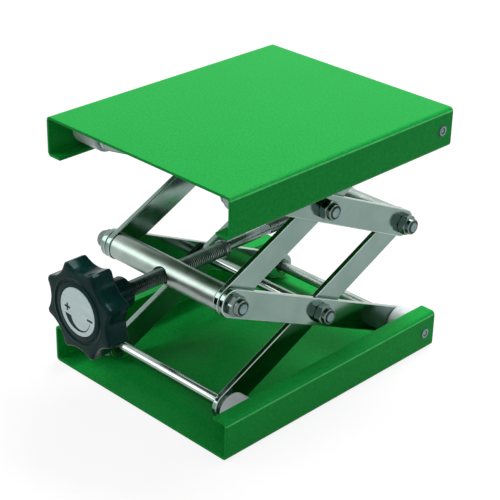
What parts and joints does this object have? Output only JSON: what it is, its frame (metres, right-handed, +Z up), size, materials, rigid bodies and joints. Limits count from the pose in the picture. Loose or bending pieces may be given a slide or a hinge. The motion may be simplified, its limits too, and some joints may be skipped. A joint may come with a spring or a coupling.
{
  "type": "lab jack",
  "caption": "Laboratory lifting jack with flanged sheet-metal plates joined by a scissor linkage, raised and lowered by a star knob on a threaded spindle.",
  "frame": {"origin": "centre of the base plate's underside, on the table", "axes": "+Z up, +Y away from the knob along the flanges, +X to the right seen from the knob"},
  "size_m": [0.131, 0.1984, 0.1412],
  "materials": {
    "plate_paint": "fine-textured powder coat",
    "arm_steel": "smooth satin, electropolished",
    "bright_steel": "polished",
    "nut_steel": "polished",
    "clip_steel": "dark spring steel",
    "spindle_steel": "oiled steel with rolled threads",
    "nylon": "smooth white nylon",
    "knob_plastic": "glossy moulded thermoset",
    "insert_brass": "turned",
    "label_metal": null
  },
  "bodies": {
    "base": {"base_plate": "plate_paint", "base_rear_axle": "bright_steel", "base_rear_clips": "clip_steel", "base_rear_spacers": "nylon"},
    "lower_outer_arms": {"lower_outer_arm_left": "arm_steel", "lower_outer_arm_right": "arm_steel", "lower_cross_rod": "bright_steel", "lower_cross_clips": "clip_steel", "lower_cross_washers": "bright_steel", "lower_cross_nuts": "nut_steel"},
    "lower_inner_arms": {"lower_inner_arm_left": "arm_steel", "lower_inner_arm_right": "arm_steel", "base_roller_axle": "bright_steel", "base_roller_clips": "clip_steel", "base_roller_rings": "bright_steel"},
    "base_left_roller": {"base_roller_left": "nylon"},
    "base_right_roller": {"base_roller_right": "nylon"},
    "front_cross_bar": {"front_bar": "bright_steel", "front_bar_washers": "bright_steel", "front_bar_nuts": "nut_steel"},
    "rear_cross_bar": {"rear_bar": "bright_steel", "rear_bar_washers": "bright_steel", "rear_bar_nuts": "nut_steel"},
    "spindle_stop": {"stop_washer": "spindle_steel"},
    "spindle_and_knob": {"spindle": "spindle_steel", "stop_pin": "bright_steel", "knob": "knob_plastic", "knob_insert": "insert_brass", "knob_label": "label_metal"},
    "upper_inner_arms": {"upper_inner_arm_left": "arm_steel", "upper_inner_arm_right": "arm_steel"},
    "upper_outer_arms": {"upper_outer_arm_left": "arm_steel", "upper_outer_arm_right": "arm_steel", "upper_cross_rod": "bright_steel", "upper_cross_clips": "clip_steel", "upper_cross_washers": "bright_steel", "upper_cross_nuts": "nut_steel", "top_roller_axle": "bright_steel", "top_roller_clips": "clip_steel"},
    "top_left_roller": {"top_roller_left": "nylon"},
    "top_right_roller": {"top_roller_right": "nylon"},
    "top": {"top_plate": "plate_paint", "top_rear_axle": "bright_steel", "top_rear_clips": "clip_steel", "top_rear_rings": "bright_steel", "top_rear_spacers": "nylon"}
  },
  "joints": [
    {"name": "knob_spin", "type": "hinge", "parent": "spindle_stop", "child": "spindle_and_knob", "pos_m": [0, 0, 0.0706], "axis": [0, 1, 0], "range_deg": [-3638, 7490]},
    {"name": "spindle_travel", "type": "slide", "parent": "front_cross_bar", "child": "spindle_stop", "axis": [0, -1, 0], "range_m": [-0.01266, 0.02603]},
    {"name": "lower_outer_arms_lift", "type": "hinge", "parent": "base", "child": "lower_outer_arms", "pos_m": [0, 0.072, 0.01075], "axis": [-1, 0, 0], "range_deg": [-17, 35]},
    {"name": "lower_scissor", "type": "hinge", "parent": "lower_outer_arms", "child": "lower_inner_arms", "pos_m": [0, 0.00761, 0.04068], "axis": [1, 0, 0], "range_deg": [-34, 70]},
    {"name": "front_bar_level", "type": "hinge", "parent": "lower_outer_arms", "child": "front_cross_bar", "pos_m": [0, -0.05677, 0.0706], "axis": [1, 0, 0], "range_deg": [-17, 35]},
    {"name": "middle_fold", "type": "hinge", "parent": "lower_outer_arms", "child": "upper_inner_arms", "pos_m": [0, -0.05677, 0.0706], "axis": [1, 0, 0], "range_deg": [-34, 70]},
    {"name": "rear_bar_level", "type": "hinge", "parent": "lower_inner_arms", "child": "rear_cross_bar", "pos_m": [0, 0.072, 0.0706], "axis": [-1, 0, 0], "range_deg": [-17, 35]},
    {"name": "upper_scissor", "type": "hinge", "parent": "upper_inner_arms", "child": "upper_outer_arms", "pos_m": [0, 0.00761, 0.10053], "axis": [-1, 0, 0], "range_deg": [-34, 70]},
    {"name": "top_plate_level", "type": "hinge", "parent": "upper_inner_arms", "child": "top", "pos_m": [0, 0.072, 0.13045], "axis": [-1, 0, 0], "range_deg": [-17, 35]},
    {"name": "base_left_roller_spin", "type": "hinge", "parent": "lower_inner_arms", "child": "base_left_roller", "pos_m": [0, -0.05677, 0.01075], "axis": [1, 0, 0], "continuous": true},
    {"name": "base_right_roller_spin", "type": "hinge", "parent": "lower_inner_arms", "child": "base_right_roller", "pos_m": [0, -0.05677, 0.01075], "axis": [1, 0, 0], "continuous": true},
    {"name": "top_left_roller_spin", "type": "hinge", "parent": "upper_outer_arms", "child": "top_left_roller", "pos_m": [0, -0.05677, 0.13045], "axis": [1, 0, 0], "continuous": true},
    {"name": "top_right_roller_spin", "type": "hinge", "parent": "upper_outer_arms", "child": "top_right_roller", "pos_m": [0, -0.05677, 0.13045], "axis": [1, 0, 0], "continuous": true}
  ],
  "couplings": [
    {"joint": "knob_spin", "follows": "lower_outer_arms_lift", "ratio": 214},
    {"joint": "spindle_travel", "follows": "lower_outer_arms_lift", "m_per_rad": 0.042574},
    {"joint": "lower_scissor", "follows": "lower_outer_arms_lift", "ratio": 2},
    {"joint": "front_bar_level", "follows": "lower_outer_arms_lift", "ratio": 1},
    {"joint": "middle_fold", "follows": "lower_outer_arms_lift", "ratio": 2},
    {"joint": "rear_bar_level", "follows": "lower_outer_arms_lift", "ratio": 1},
    {"joint": "upper_scissor", "follows": "lower_outer_arms_lift", "ratio": 2},
    {"joint": "top_plate_level", "follows": "lower_outer_arms_lift", "ratio": 1}
  ]
}
